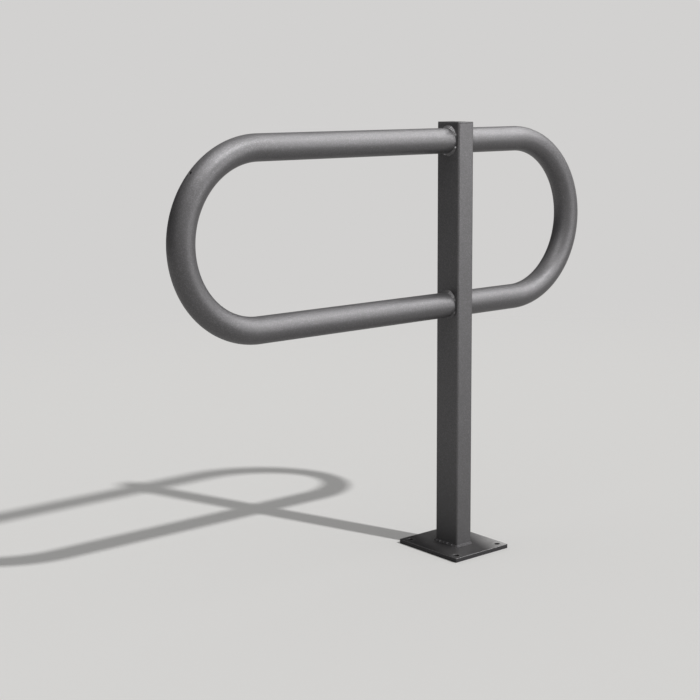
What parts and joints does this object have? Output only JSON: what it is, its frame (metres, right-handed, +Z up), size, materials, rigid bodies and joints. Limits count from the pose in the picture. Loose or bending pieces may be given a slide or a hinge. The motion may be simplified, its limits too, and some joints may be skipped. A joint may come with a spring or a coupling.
{
  "type": "hoop bike rack",
  "caption": "Floor-fixed cycle stand: a rectangular steel post on a drilled base plate, with a long and a short U-bent tube hoop welded to opposite faces.",
  "frame": {"origin": "on the ground, in the middle of the base plate's underside, on the post's axis", "axes": "+Z up the post; +X level, along the short hoop (the long hoop reaches to -X), both hoops in the XZ plane; +Y level, square to the hoops"},
  "size_m": [0.99, 0.16, 0.83],
  "materials": {
    "coated_steel": "satin anthracite powder coat with fine mica",
    "coated_weld": "satin anthracite powder coat over rippled weld"
  },
  "bodies": {
    "root": {"base_plate": "coated_steel", "post": "coated_steel", "post_cap": "coated_steel", "long_hoop": "coated_steel", "short_hoop": "coated_steel", "cap_weld": "coated_weld", "foot_weld": "coated_weld", "long_hoop_upper_weld": "coated_weld", "long_hoop_lower_weld": "coated_weld", "short_hoop_upper_weld": "coated_weld", "short_hoop_lower_weld": "coated_weld"}
  },
  "joints": []
}
